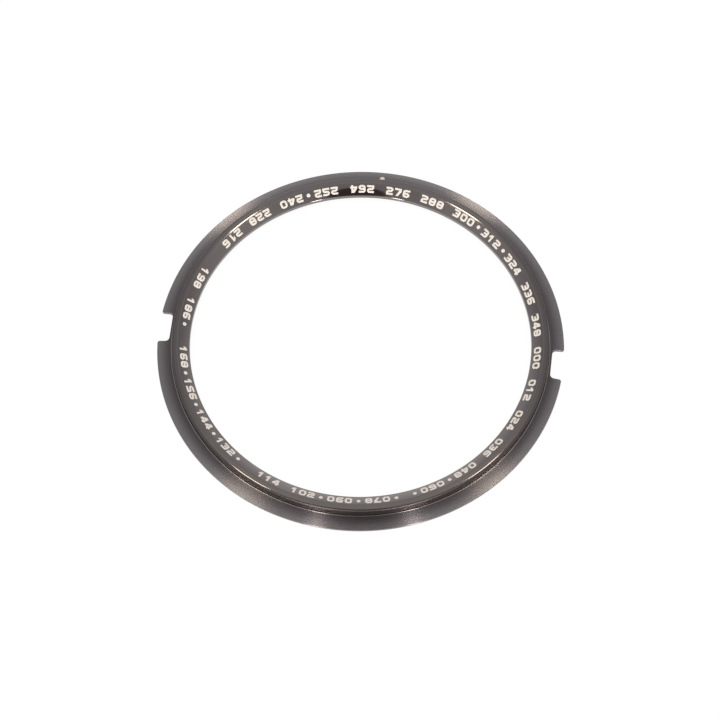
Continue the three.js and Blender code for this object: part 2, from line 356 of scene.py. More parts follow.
def turned(section, segments):
    """A closed section (radius, height) turned about Z: x = r cos a, y = r sin a, z = h."""
    angles = np.linspace(0, 2 * math.pi, segments, endpoint=False)[:, None]
    radius, height = section[:, 0][None, :], section[:, 1][None, :]
    points = np.stack(np.broadcast_arrays(radius * np.cos(angles), radius * np.sin(angles), height), axis=-1)
    return points, grid_faces(segments, len(section), True, True)


# The scale ring


def turn_steps(radius, first, last, steps):
    """Moves along an arc whose outward normal leans from the first tilt to the last. Tilts are from +Z, and
    positive away from the axis, so a move is radius x (change of sine, change of cosine)."""
    tilts = np.linspace(first, last, steps + 1)
    return radius * np.diff(np.stack([np.sin(tilts), np.cos(tilts)], axis=-1), axis=0)


def crest_profile(sizes):
    """The line from the wall's top to the lip's, as arcs and a land that run into each other: shoulder edge,
    shoulder, land, inner edge, crowned face and lip edge. The face's radius is what closes it on the lip.
    The line comes with the centre and the radius of the face's arc."""
    steep = sizes.lip_draft / sizes.lip_height - math.pi / 2
    fall, high, low = sizes.land_fall, -sizes.crest_slope, -sizes.lip_slope
    edge = turn_steps(sizes.shoulder_edge, math.pi / 2, sizes.shoulder_fall, steps=5)
    outer_edge = np.vstack([edge, turn_steps(sizes.crest_outer_radius, sizes.shoulder_fall, fall, steps=9)])
    land = np.tile([-sizes.land_width * math.cos(fall), sizes.land_width * math.sin(fall)], (3, 1)) / 3
    inner_edge = turn_steps(sizes.crest_inner_radius, fall, high, steps=10)
    lip_edge = turn_steps(sizes.lip_edge, low, steep, steps=7)
    moved_in = sum(part[:, 0].sum() for part in (outer_edge, land, inner_edge, lip_edge))
    face_run = sizes.outer_radius - (sizes.opening_radius + sizes.lip_draft) + moved_in
    face_radius = face_run / (math.sin(high) - math.sin(low))
    face = turn_steps(face_radius, high, low, steps=12)
    moves = np.vstack([[(sizes.outer_radius, 0)], outer_edge, land, inner_edge, face, lip_edge])
    line = np.cumsum(moves, axis=0)
    line[:, 1] += sizes.crest_top - line[:, 1].max()
    face_end = line[-len(lip_edge) - 1]
    centre = face_end - face_radius * np.array([math.sin(low), math.cos(low)])
    return line, centre, face_radius


def face_slope(sizes, place_share):
    """The face's slope at a share of the way from the lip to the crest."""
    return sizes.lip_slope + (sizes.crest_slope - sizes.lip_slope) * place_share


def scale_ring_section(sizes):
    """Lip, face, crest, wall, foot and spigot, with every corner rounded."""
    line = crest_profile(sizes)[0]
    inner = sizes.opening_radius + sizes.spigot_reach
    outer = inner + sizes.spigot_wall
    lip_foot = line[-1, 1] - sizes.lip_height
    *below, _, _, lip_corner = round_outline(
        [
            (inner, lip_foot, sizes.spigot_edge),
            (inner, sizes.spigot_foot, sizes.spigot_edge),
            (outer, sizes.spigot_foot, sizes.spigot_edge),
            (outer, sizes.foot_height, sizes.spigot_edge),
            (sizes.outer_radius, sizes.foot_height, sizes.foot_edge),
            (*line[0], 0),
            (*line[-1], 0),
            (sizes.opening_radius, lip_foot, sizes.lip_foot_edge),
        ],
        steps=5,
        support=EDGE_SUPPORT,
    )
    wall_end, lip_end = line[:1] - [0, EDGE_SUPPORT], line[-1:] - [0, EDGE_SUPPORT]
    return np.vstack([*below, wall_end, line, lip_end, lip_corner])


# The flange


def ring_seam(sizes):
    """Radius of the flange's wall at the seam."""
    return bpy.context.scene.bezel_ring.outer_radius + sizes.seam_width


def notch_quarter(sizes):
    """A quarter of the flange's outer line, clockwise from the middle of the notch at 12 o'clock to 3
    o'clock: points, outward normals and matching angles on the seam's circle, both angles from 12 o'clock.
    The line is the notch's floor, its corner, its side, its mouth and the rim. The seam's angle grows
    steadily along the line, and leads it by the side so that no spoke crosses the notch."""
    half = sizes.notch_width / 2
    floor = ring_seam(sizes) + sizes.notch_web
    corner, mouth = sizes.notch_floor_radius, sizes.notch_mouth_radius
    mouth_x = half + mouth
    mouth_y = math.sqrt((sizes.rim_radius - mouth) ** 2 - mouth_x**2)
    rim_angle = math.atan2(mouth_y, mouth_x)

    floor_x = np.linspace(0, half - corner, FLOOR_STEPS + 1)[:-1]
    bend = np.linspace(-math.pi / 2, 0, CORNER_STEPS + 1)
    side_y = np.linspace(floor + corner, mouth_y, SIDE_STEPS + 1)[1:-1]
    turn = np.linspace(math.pi, rim_angle, MOUTH_STEPS + 1)
    rim = np.linspace(rim_angle, 0, RIM_STEPS + 1)[1:]
    lines = [
        np.stack([floor_x, np.full_like(floor_x, floor)], axis=-1),
        np.stack([half - corner + corner * np.cos(bend), floor + corner + corner * np.sin(bend)], axis=-1),
        np.stack([np.full_like(side_y, half), side_y], axis=-1),
        np.stack([mouth_x + mouth * np.cos(turn), mouth_y + mouth * np.sin(turn)], axis=-1),
        sizes.rim_radius * np.stack([np.cos(rim), np.sin(rim)], axis=-1),
    ]
    normals = [
        np.tile([0.0, 1.0], (len(floor_x), 1)),
        -np.stack([np.cos(bend), np.sin(bend)], axis=-1),
        np.tile([-1.0, 0.0], (len(side_y), 1)),
        np.stack([np.cos(turn), np.sin(turn)], axis=-1),
        np.stack([np.cos(rim), np.sin(rim)], axis=-1),
    ]
    bend_start, side_start, turn_start, rim_start, _ = np.cumsum([len(line) for line in lines])
    line = np.vstack(lines)
    own = np.arctan2(line[:, 0], line[:, 1])
    fan = np.radians(NOTCH_FAN)
    straight = rim_start + np.searchsorted(own[rim_start:], fan[-1])
    knots = [0, bend_start, side_start - 1, turn_start, rim_start - 1, straight]
    lead = np.interp(np.arange(len(line)), knots, fan)
    lead[straight:] = own[straight:]
    return line, np.vstack(normals), lead


def whole_outline(sizes):
    """The quarter mirrored across 3 and 9 o'clock and across 12 and 6 o'clock, counter-clockwise."""
    line, normals, lead = notch_quarter(sizes)
    seam = np.stack([np.sin(lead), np.cos(lead)], axis=-1)
    quarter = np.stack([line, normals, seam])
    lower = quarter[:, ::-1] * [1, -1]
    right = np.concatenate([quarter[:, :-1], lower], axis=1)
    left = right[:, -2:0:-1] * [-1, 1]
    return tuple(np.concatenate([right, left], axis=1)[:, ::-1])


def brim_end(sizes, slope):
    """The brim's inner end: the groove's outer edge, its bottom, the bead and the edge of the rebate."""
    seam_radius, top = ring_seam(sizes), sizes.seam_height
    bead_end = seam_radius + sizes.bead_width
    groove_end = bead_end + sizes.groove_width
    deepest = bead_end + sizes.groove_middle * sizes.groove_width
    corners = [
        (seam_radius + 1, top - slope),
        (groove_end, top - (sizes.bead_width + sizes.groove_width) * slope),
        (deepest, top - sizes.groove_depth),
        (bead_end, top),
        (seam_radius, top),
        (seam_radius, sizes.seat_height),
    ]
    radii = (sizes.groove_edge, sizes.groove_edge, sizes.seam_edge, sizes.seam_edge)
    trios = zip(corners, corners[1:], corners[2:], radii)
    return np.vstack([round_corner(last, corner, ahead, radius, 4) for last, corner, ahead, radius in trios])


def flange_points(sizes):
    """The flange's surface as spokes: each runs from the bore along the underside to the outer line, up over
    the rounded edge, back along the brim to the seam and down the rebate to the bore. Outer points are the
    outer line less a distance along its normal, inner ones a radius along the spoke's seam angle, and the
    brim's height falls evenly with the true radius."""
    line, normals, seam = whole_outline(sizes)
    seam_radius = ring_seam(sizes)
    slope = (sizes.seam_height - sizes.rim_height) / (sizes.rim_radius - seam_radius)

    def brim_height(flat):
        """The brim's height over points of the plan."""
        return sizes.seam_height - (np.hypot(flat[..., 0], flat[..., 1]) - seam_radius) * slope

    def outer(shift, height):
        """Points shifted along the outer line's normals, at heights."""
        flat = line[:, None, :] + normals[:, None, :] * shift[..., None]
        return np.dstack([flat, np.broadcast_to(height, flat.shape[:2])])

    def inner(section):
        """Points at a section's radii and heights, along each spoke's seam direction."""
        flat = seam[:, None, :] * section[None, :, :1]
        return np.dstack([flat, np.broadcast_to(section[None, :, 1], flat.shape[:2])])

    under = round_corner((-1, 0), (0, 0), (0, 1), sizes.foot_edge, 4, EDGE_SUPPORT)[None]
    foot = outer(under[..., 0], under[..., 1])

    # The rim's arc turns from the wall's normal to the brim's, which depends on the wall's direction.
    edge = sizes.rim_edge
    fall = -slope * (unit(line) * normals).sum(axis=-1)
    angles = np.arctan2(1, -fall)[:, None] * np.linspace(0, 1, RIM_EDGE_STEPS + 1)[None, :]
    centre = brim_height(line) - fall * edge - edge * np.sqrt(1 + fall**2)
    wall = outer(np.zeros((1, 1)), centre[:, None] - EDGE_SUPPORT)
    arc = outer(edge * np.cos(angles) - edge, centre[:, None] + edge * np.sin(angles))

    start = arc[:, -1, :2] - normals * EDGE_SUPPORT
    end = seam * (seam_radius + sizes.bead_width + sizes.groove_width + EDGE_SUPPORT)
    along = np.linspace(0, 1, BRIM_STEPS + 1)[None, :, None]
    brim = start[:, None, :] * (1 - along) + end[:, None, :] * along
    brim = np.dstack([brim, brim_height(brim)])

    seat, bore = sizes.seat_height, sizes.bore_radius
    rebate = round_corner((seam_radius, 1), (seam_radius, seat), (0, seat), sizes.foot_edge, 3, EDGE_SUPPORT)
    bore_top = round_corner((1, seat), (bore, seat), (bore, 0), sizes.foot_edge, 3, EDGE_SUPPORT)
    bore_foot = round_corner((bore, 1), (bore, 0), (1, 0), sizes.bore_edge, 3, EDGE_SUPPORT)
    rows = [inner(bore_foot), foot, wall, arc, brim]
    rows += [inner(brim_end(sizes, slope)), inner(rebate), inner(bore_top)]
    return np.concatenate(rows, axis=1)


# Lacquer


def dot_points(centre, normal, diameter, thickness, edge, segments=48):
    """A low dome on a round disc. Going from the top pole to the bottom one, the profile is a shallow arc, a
    rounded edge, the side and the flat foot; it turns about the normal through the centre."""
    radius = diameter / 2
    top = thickness / 2
    crown = np.array([0.0, 0.35, 0.65, 0.85]) * radius
    dome = np.stack([crown, top + edge * (np.cos(crown / radius * math.pi / 2) - 1)], axis=-1)
    shoulder = round_corner((0, top - edge), (radius, top - edge), (radius, -top), edge, 4)
    profile = np.vstack([dome[1:], shoulder, [(radius, -top)]])
    angles = np.linspace(0, 2 * math.pi, segments, endpoint=False)
    side = unit(np.cross(normal, [0.0, 0.0, 1.0]))
    up = np.cross(normal, side)
    spokes = np.cos(angles)[:, None] * side + np.sin(angles)[:, None] * up
    rings = profile[:, 0][:, None, None] * spokes[None] + profile[:, 1][:, None, None] * normal
    points = np.vstack([rings.reshape(-1, 3), [dome[0, 1] * normal], [-top * normal]]) + centre
    around = np.arange(segments)
    beside = (around + 1) % segments
    count = len(profile) * segments
    last_ring = count - segments
    cap = np.stack([around, beside, np.full(segments, count)], axis=-1)
    foot = np.stack([last_ring + beside, last_ring + around, np.full(segments, count + 1)], axis=-1)
    faces = grid_faces(len(profile), segments, False, True)[:, ::-1]
    return points, [*faces.tolist(), *cap.tolist(), *foot.tolist()]


def digit_outlines(sizes):
    """The ten digits as outlines of (x, y, radius) corners, centred on the origin. The first outline of each
    is its outer edge, counter-clockwise, and the others are its holes. Half the width and height are x and y,
    xi and yi are the same less a stroke, and m is half a stroke."""
    x, y = sizes.digit_width / 2, sizes.figure_height / 2
    stroke, big = sizes.stroke, sizes.corner
    xi, yi, m = x - stroke, y - stroke, stroke / 2
    small, crisp = big - stroke, 0.08 * stroke

    def box(left, low, right, high, radius):
        return [(left, low, radius), (right, low, radius), (right, high, radius), (left, high, radius)]

    def turned_round(outline):
        return [(-px, -py, radius) for px, py, radius in outline]

    def mirrored(outline):
        return [(-px, py, radius) for px, py, radius in reversed(outline)]

    two = [
        (-x, -y, crisp), (x, -y, crisp), (x, -yi, crisp), (-xi, -yi, crisp), (-xi, -m, small), (x, -m, big),
        (x, y, big), (-x, y, crisp), (-x, yi, crisp), (xi, yi, small), (xi, m, small), (-x, m, big),
    ]
    three = [
        (-x, -y, crisp), (x, -y, big), (x, y, big), (-x, y, crisp), (-x, yi, crisp), (xi, yi, small),
        (xi, m, crisp), (-xi, m, crisp), (-xi, -m, crisp), (xi, -m, crisp), (xi, -yi, small),
        (-x, -yi, crisp),
    ]
    six = [
        (-x, -y, big), (x, -y, big), (x, m, big), (-xi, m, crisp), (-xi, yi, small), (x, yi, crisp),
        (x, y, crisp), (-x, y, big),
    ]
    six_hole = box(-xi, -yi, xi, -m, small)
    stem, bar = xi - stroke * 0.55, -y * 0.42
    slant = stroke * 1.25
    four = [
        (stem, -y, crisp), (stem + stroke, -y, crisp), (stem + stroke, bar - m, crisp), (x, bar - m, crisp),
        (x, bar + m, crisp), (stem + stroke, bar + m, crisp), (stem + stroke, y, crisp), (stem - m, y, crisp),
        (-x, bar + m, crisp), (-x, bar - m, crisp), (stem, bar - m, crisp),
    ]
    four_hole = [(-x + slant, bar + m, crisp), (stem, bar + m, crisp), (stem, yi - m, crisp)]
    one = [
        (-m, -y, crisp), (m, -y, crisp), (m, y, crisp), (-m, y, crisp), (-m - stroke, yi, crisp),
        (-m - stroke, yi - stroke, crisp), (-m, yi - m, crisp),
    ]
    seven = [
        (-stroke, -y, crisp), (m * 0.4, -y, crisp), (x, yi - m, crisp), (x, y, crisp), (-x, y, crisp),
        (-x, yi, crisp), (xi - m * 0.4, yi, crisp),
    ]
    ring = box(-x, -y, x, y, big)
    return {
        "0": [ring, box(-xi, -yi, xi, yi, small)],
        "1": [one],
        "2": [two],
        "3": [three],
        "4": [four, four_hole],
        "5": [mirrored(two)],
        "6": [six, six_hole],
        "7": [seven],
        "8": [ring, box(-xi, m, xi, yi, small), box(-xi, -yi, xi, -m, small)],
        "9": [turned_round(six), turned_round(six_hole)],
    }


def inset_loop(loop, distance):
    """Each point moved left of its way along the loop: with neighbours' unit edges a and b, the move is
    distance / (1 + a.b) times the sum of their left normals."""
    ahead = unit(np.roll(loop, -1, axis=0) - loop)
    back = np.roll(ahead, 1, axis=0)
    left = np.stack([-(ahead + back)[:, 1], (ahead + back)[:, 0]], axis=-1)
    return loop + left * distance / (1 + (ahead * back).sum(axis=-1, keepdims=True))


def flat_solid(outlines, sizes):
    """One digit as a closed solid in its own plane: walls up each outline, a rounded upper edge, and flat
    caps. The third coordinate is the height above the metal."""
    edge, proud = sizes.edge, sizes.proud
    rows = [(-sizes.depth, 0.0), (proud - edge, 0.0), (proud - 0.3 * edge, 0.3 * edge), (proud, edge)]
    points, faces, foot_loops, top_loops, start = [], [], [], [], 0
    for order, outline in enumerate(outlines):
        loop = np.vstack(round_outline(outline, steps=5))
        if order:
            loop = loop[::-1]
        count = len(loop)
        for height, inset in rows:
            points.append(np.column_stack([inset_loop(loop, inset), np.full(count, height)]))
        faces += (grid_faces(len(rows), count, False, True) + start).tolist()
        foot_loops.append(start + np.arange(count))
        top_loops.append(start + (len(rows) - 1) * count + np.arange(count))
        start += len(rows) * count
    points = np.vstack(points)
    for loops, outward in ((top_loops, 1), (foot_loops, -1)):
        ids = np.concatenate(loops)
        rings = [[Vector(point) for point in points[loop]] for loop in loops]
        triangles = np.array(tessellate_polygon(rings))
        corners = points[ids[triangles]][..., :2]
        across, along = corners[:, 1] - corners[:, 0], corners[:, 2] - corners[:, 0]
        facing = np.sign(across[:, 0] * along[:, 1] - across[:, 1] * along[:, 0]) * outward
        triangles = np.where(facing[:, None] > 0, triangles, triangles[:, ::-1])
        faces += ids[triangles].tolist()
    return points, faces


def lay_on_face(flat, step, reads_outward, ring, place_share):
    """A flat figure laid on the crowned face. Its y runs along the face's arc, up it, or down it where the
    tops point inwards, so the slope there is the middle's less y / face radius. Its x runs along the circle,
    and its z is added to the face's radius."""
    _, centre, face_radius = crest_profile(ring)
    sign = 1 if reads_outward else -1
    middle = face_slope(ring, place_share)
    slope = middle - sign * flat[:, 1] / face_radius
    reach = centre[0] - (face_radius + flat[:, 2]) * np.sin(slope)
    height = centre[1] + (face_radius + flat[:, 2]) * np.cos(slope)
    circle = centre[0] - face_radius * math.sin(middle)
    angles = math.pi / 2 - 2 * math.pi * step / STEPS_PER_TURN - sign * flat[:, 0] / circle
    return np.column_stack([reach * np.cos(angles), reach * np.sin(angles), height])


# Shaders


class Socket:
    """An output in a shader tree. Arithmetic on it adds one Math node for each operator."""

    def __init__(self, tree, output):
        self.tree = tree
        self.output = output

    def math(self, operation, *values):
        return self.tree.add("ShaderNodeMath", {"operation": operation}, dict(enumerate(values)))

    def __add__(self, other):
        return self.math("ADD", self, other)

    def __radd__(self, other):
        return self.math("ADD", other, self)

    def __sub__(self, other):
        return self.math("SUBTRACT", self, other)

    def __rsub__(self, other):
        return self.math("SUBTRACT", other, self)

    def __mul__(self, other):
        return self.math("MULTIPLY", self, other)

    def __rmul__(self, other):
        return self.math("MULTIPLY", other, self)

    def __pow__(self, other):
        return self.math("POWER", self, other)

    def __abs__(self):
        return self.math("ABSOLUTE", self)

    def clamped(self):
        """The value, held between 0 and 1."""
        return self.tree.add("ShaderNodeClamp", {}, {"Value": self})

    def ramp(self, low, high):
        """0 at low, 1 at high, held outside them and eased between."""
        ends = {"Value": self, "From Min": low, "From Max": high}
        return self.tree.add("ShaderNodeMapRange", {"interpolation_type": "SMOOTHSTEP"}, ends)


class ShaderTree:
    """A node tree that is built from plain calls."""

    def __init__(self, tree):
        self.tree = tree
        tree.nodes.clear()

    @staticmethod
    def find(sockets, key):
        """The socket at a number, or the live one of a name."""
        if isinstance(key, int):
            return sockets[key]
        return next(socket for socket in sockets if socket.name == key and socket.enabled)

    def add(self, kind, settings=None, inputs=None, output=0):
        """Adds a node of a kind, applies its settings, then sets or links its inputs. It gives the output,
        by number or by name, as a Socket, or the node itself where it has none."""
        node = self.tree.nodes.new(kind)
        for key, value in (settings or {}).items():
            setattr(node, key, value)
        for key, value in (inputs or {}).items():
            socket = self.find(node.inputs, key)
            if isinstance(value, Socket):
                self.tree.links.new(value.output, socket)
            else:
                socket.default_value = value
        if not node.outputs:
            return node
        if isinstance(output, str):
            return Socket(self, self.find(node.outputs, output))
        live = [socket for socket in node.outputs if socket.enabled]
        return Socket(self, live[output])

    def show(self, shader):
        """Links a shader to the material's output."""
        self.add("ShaderNodeOutputMaterial", {}, {"Surface": shader})

    def mix(self, factor, low, high):
        """A colour between two, by a factor."""
        return self.add("ShaderNodeMix", {"data_type": "RGBA"}, {"Factor": factor, "A": low, "B": high})

    def vector(self, operation, *values):
        return self.add("ShaderNodeVectorMath", {"operation": operation}, dict(enumerate(values)))

    def scaled(self, vector, scale):
        """A vector or colour times a number."""
        inputs = {"Vector": vector, "Scale": scale}
        return self.add("ShaderNodeVectorMath", {"operation": "SCALE"}, inputs)

    def dot(self, first, second):
        inputs = {0: first, 1: second}
        return self.add("ShaderNodeVectorMath", {"operation": "DOT_PRODUCT"}, inputs, output="Value")

    def rays(self, *kinds):
        """1 for rays of the kinds that Light Path names, and 0 for the rest."""
        found = [self.add("ShaderNodeLightPath", {}, {}, output=kind) for kind in kinds]
        return sum(found[1:], found[0]).clamped()

    def noise(self, vector, scale, detail=2.0, roughness=0.5):
        inputs = {"Vector": vector, "Scale": scale, "Detail": detail, "Roughness": roughness}
        return self.add("ShaderNodeTexNoise", {"noise_dimensions": "3D"}, inputs)

    def here(self):
        """Millimetres from the part's origin."""
        metres = self.add("ShaderNodeTexCoord", {}, {}, output="Object")
        return self.vector("MULTIPLY", metres, (1 / MM, 1 / MM, 1 / MM))

    def from_axis(self, here):
        """The distance from the part's axis, and the direction from the axis as a vector of length 1."""
        flat = self.vector("MULTIPLY", here, (1, 1, 0))
        radius = self.add("ShaderNodeVectorMath", {"operation": "LENGTH"}, {0: flat}, output="Value")
        return radius, self.vector("NORMALIZE", flat)

    def hairlines(self, direction, radius, pitch, lines):
        """Noise stretched round the axis: lines to the millimetre across, and pitch to the turn along."""
        across = self.add("ShaderNodeCombineXYZ", {}, {"Z": radius * lines})
        around = self.vector("MULTIPLY", direction, (pitch, pitch, 0))
        return self.noise(self.vector("ADD", around, across), 1.0, 2.0, 0.6)


def rgba(values):
    """A colour with its opacity, which is full."""
    return (*values, 1.0)


def new_material(name):
    """A new material, and the tree that its nodes are added to."""
    material = bpy.data.materials.new(name)
    material.use_nodes = True
    return material, ShaderTree(material.node_tree)


def satin_metal(colours, sizes):
    """Dark steel brushed round the axis: fine and coarse hairlines in tone, roughness and relief, and darker
    by the wall. The hairlines' sides face inwards and outwards, so it is two finishes mixed about evenly,
    each with its normal leaning one way along the radius. The bead by the seam is painted lighter, a painted
    highlight for the thin light line that its edge catches, and doesn't lean."""
    material, tree = new_material("satin_steel")
    here = tree.here()
    radius, direction = tree.from_axis(here)
    seam_radius, rim_radius = ring_seam(sizes) / MM, sizes.rim_radius / MM

    # Masks from 0 to 1, eased between two distances from the axis.
    outward = radius.ramp(seam_radius, rim_radius) ** 1.3
    rim = radius.ramp(rim_radius - 0.05, rim_radius - 0.01)
    bead = radius.ramp(seam_radius + 0.11, seam_radius + 0.09)

    fine = tree.hairlines(direction, radius, pitch=9.0, lines=26.0)
    coarse = tree.hairlines(direction, radius, pitch=3.0, lines=7.0)
    patches = tree.noise(here, 0.35, 2.0)
    grain = (0.84 + 0.16 * fine + 0.16 * coarse) * (0.94 + 0.12 * patches)
    tone = tree.mix(outward, rgba(colours.satin_inner), rgba(colours.satin_outer))
    tone = tree.mix(rim, tree.scaled(tone, grain), rgba(colours.rim_line))
    # Painted highlight: the bead takes a lighter colour for the light line along the seam.
    tone = tree.mix(bead, tone, rgba(colours.seam_highlight))
    roughness = (colours.satin_roughness - 0.09 + 0.12 * fine + 0.06 * coarse).clamped()

    facing = tree.add("ShaderNodeNewGeometry", {}, {}, output="Normal")
    sides = []
    for lean in (math.tan(colours.satin_outward), -math.tan(colours.satin_inward)):
        sideways = tree.scaled(direction, lean * (1 - bead))
        leaning = tree.vector("NORMALIZE", tree.vector("ADD", facing, sideways))
        relief = {"Strength": 0.35, "Distance": 1.5 * UM, "Height": fine + 0.6 * coarse, "Normal": leaning}
        inputs = {
            "Base Color": tone,
            "Metallic": 1.0,
            "Roughness": roughness,
            "Anisotropic": 1.0,
            "Anisotropic Rotation": 0.25,
            "Normal": tree.add("ShaderNodeBump", {}, relief),
        }
        sides.append(tree.add("ShaderNodeBsdfPrincipled", {}, inputs))
    mixed = {0: colours.inward_share, 1: sides[0], 2: sides[1]}
    tree.show(tree.add("ShaderNodeMixShader", {}, mixed))
    return material


def polished_metal(colours, sizes):
    """Dark polished steel: a mirror under a thin, rough film of handling, with a faint haze, a few fine
    turning lines, a colour made lighter towards the lip as a painted reflection of the bright floor in the
    opening, and a darker, rougher shoulder and wall."""
    material, tree = new_material("polished_steel")
    here = tree.here()
    radius, direction = tree.from_axis(here)
    height = tree.add("ShaderNodeSeparateXYZ", {}, {"Vector": here}, output="Z")
    outer_radius, crest_top = sizes.outer_radius / MM, sizes.crest_top / MM

    # Masks from 0 to 1, eased between two distances from the axis, or two heights.
    inner = radius.ramp(outer_radius - 0.55, sizes.opening_radius / MM - 0.2) ** 1.6
    dark = radius.ramp(outer_radius - 0.24, outer_radius - 0.10)
    rough = radius.ramp(outer_radius - 0.13, outer_radius - 0.08)
    below_edge = height.ramp(crest_top - 0.22, crest_top - 0.28)
    wall = radius.ramp(outer_radius - 0.02, outer_radius - 0.005) * below_edge

    haze = tree.noise(here, 0.9, 3.0, 0.6)
    turning = tree.hairlines(direction, radius, pitch=4.0, lines=16.0)
    # Lighter towards the lip: a painted reflection of the bright floor in the opening.
    tone = tree.mix(inner, rgba(colours.polished), rgba(colours.polished_lip_reflection))
    tone = tree.mix(dark, tone, rgba(colours.polished_shoulder))
    tone = tree.mix(wall, tone, rgba(colours.polished_wall))
    tone = tree.scaled(tone, 0.93 + 0.08 * haze + 0.06 * turning)
    marks = 0.07 * haze**2.0 + 0.03 * turning
    roughness = colours.polished_roughness - 0.03 + marks + colours.shoulder_roughness * rough
    relief = tree.add("ShaderNodeBump", {}, {"Strength": 0.12, "Distance": 0.5 * UM, "Height": turning})

    common = {"Base Color": tone, "Metallic": 1.0, "Normal": relief}
    mirror = tree.add("ShaderNodeBsdfPrincipled", {}, {**common, "Roughness": roughness.clamped()})
    film = tree.add("ShaderNodeBsdfPrincipled", {}, {**common, "Roughness": colours.film_roughness})
    tree.show(tree.add("ShaderNodeMixShader", {}, {0: colours.film_share, 1: mirror, 2: film}))
    return material


def lacquer(colours):
    """Cream lacquer: matt, faintly mottled, with a fine orange-peel relief."""
    material, tree = new_material("cream_lacquer")
    here = tree.here()
    mottle = tree.noise(here, 3.5, 3.0)
    peel = tree.noise(here, 28.0, 2.0)
    tone = tree.scaled(tuple(colours.lacquer), 0.93 + 0.09 * mottle + 0.05 * peel)
    roughness = (0.42 + 0.14 * mottle).clamped()
    relief = tree.add("ShaderNodeBump", {}, {"Strength": 0.3, "Distance": 1.5 * UM, "Height": peel})
    inputs = {"Base Color": tone, "Roughness": roughness, "Normal": relief}
    tree.show(tree.add("ShaderNodeBsdfPrincipled", {}, inputs))
    return material


# The studio


def camera_back(studio):
    """The direction from the aimed point to the camera."""
    turn, rise = studio.azimuth, studio.elevation
    return Vector((math.sin(turn) * math.cos(rise), -math.cos(turn) * math.cos(rise), math.sin(rise)))


def direction(studio, azimuth, elevation):
    """A direction given as seen by the camera: azimuth 0 is to its right and 90 degrees away from it."""
    turn, rise = studio.azimuth + math.radians(azimuth), math.radians(elevation)
    return Vector((math.cos(turn) * math.cos(rise), math.sin(turn) * math.cos(rise), math.sin(rise)))


def mirrored_to_camera(studio, azimuth, lean):
    """The direction that a surface mirrors to the camera, where the surface leans from level towards the
    azimuth: twice its normal's share of the camera's direction, along the normal, less that direction."""
    back, normal = camera_back(studio), direction(studio, azimuth, 90 - lean)
    return 2 * back.dot(normal) * normal - back


def make_camera(studio):
    """The camera, which looks from its direction and distance at a point beside the centre."""
    data = bpy.data.cameras.new("camera")
    data.sensor_width = 36.0
    data.lens = studio.lens
    data.clip_start = 10 * MM
    data.clip_end = 10000 * MM
    camera = bpy.data.objects.new("camera", data)
    back = camera_back(studio)
    aim = (-back).to_track_quat("-Z", "Y").to_matrix() @ Matrix.Rotation(studio.roll, 3, "Z")
    camera.rotation_mode = "QUATERNION"
    camera.rotation_quaternion = aim.to_quaternion()
    target = direction(studio, 0, 0) * studio.aim_side + direction(studio, 90, 0) * studio.aim_back
    camera.location = target + back * studio.distance
    bpy.context.scene.collection.objects.link(camera)
    bpy.context.scene.camera = camera
    return camera


def make_lamp(name, studio, azimuth, lean, radiance, width, length, tint):
    """A rectangular lamp, aimed at the centre from where a surface that leans towards the azimuth mirrors it.
    Its length runs the way that a change of the lean moves it. Blender's power for an area lamp is pi x area
    x radiance."""
    data = bpy.data.lights.new(name, "AREA")
    data.shape = "RECTANGLE"
    data.size = width
    data.size_y = length
    data.energy = math.pi * width * length * radiance
    data.color = tint
    lamp = bpy.data.objects.new(name, data)
    toward = mirrored_to_camera(studio, azimuth, lean)
    side = (mirrored_to_camera(studio, azimuth, lean + 1) - toward).cross(toward).normalized()
    lamp.rotation_mode = "QUATERNION"
    lamp.rotation_quaternion = Matrix((side, toward.cross(side), toward)).transposed().to_quaternion()
    lamp.location = toward * studio.lamp_distance
    lamp.visible_camera = False
    bpy.context.scene.collection.objects.link(lamp)


def make_lamps(studio):
    """Two warm boxes for the broad highlights, and two long strips with a bright lamp under each."""
    shapes = {
        "box": (studio.box_width, studio.box_length, studio.box_tint),
        "strip": (studio.strip_width, studio.strip_length, studio.strip_tint),
        "foot": (studio.foot_width, studio.foot_length, studio.strip_tint),
    }
    for side, kind, azimuth, lean, radiance in LAMPS:
        make_lamp(kind + "_" + side, studio, azimuth, lean, radiance, *shapes[kind])


def make_world(studio):
    """White where it is seen directly, a softer level on matt surfaces, and for gloss a studio: white low
    down at the far side, where the paper sweeps up, duller overhead, duller still on the camera's half and
    at both sides of the far one, and dullest behind the camera's stand. Directions are taken apart into
    their shares towards the camera's right or left, away from it and upwards."""
    world = bpy.data.worlds.new("surround")
    world.use_nodes = True
    bpy.context.scene.world = world
    tree = ShaderTree(world.node_tree)
    toward = tree.add("ShaderNodeTexCoord", {}, {}, output="Generated")
    side = abs(tree.dot(toward, direction(studio, 0, 0)))
    away = tree.dot(toward, direction(studio, 90, 0))
    height = tree.dot(toward, Vector((0, 0, 1)))

    near = away.ramp(0.1, -0.35)
    flank = near * side.ramp(0.3, 0.55)
    stand = near * side.ramp(0.22, 0.08) * height.ramp(0.9, 0.8)
    far_side = side.ramp(0.1, 0.42) * away.ramp(0.0, 0.4)
    glow = side.ramp(0.14, 0.19) * side.ramp(0.3, 0.23) * away.ramp(0.45, 0.6)
    overhead = studio.overhead - studio.far_shade * far_side - studio.near_shade * near
    overhead = overhead + studio.flank_lift * flank + studio.glow_lift * glow - studio.stand_shade * stand

    under_sweep = 1 - height.ramp(0.0, 0.45 + 0.45 * side)
    sweep_ends = 1 - 0.9 * side.ramp(0.3, 0.7) * height.ramp(0.38, 0.18)
    sweep = under_sweep * away.ramp(-0.2, 0.5) * sweep_ends
    studio_white = overhead + (studio.sweep - overhead) * sweep

    camera, glossy = tree.rays("Is Camera Ray"), tree.rays("Is Glossy Ray", "Is Transmission Ray")
    level = studio.surround * (1 - camera) * (1 - glossy) + camera + glossy * studio_white
    background = tree.add("ShaderNodeBackground", {}, {"Color": (1, 1, 1, 1), "Strength": level})
    tree.add("ShaderNodeOutputWorld", {}, {"Surface": background})


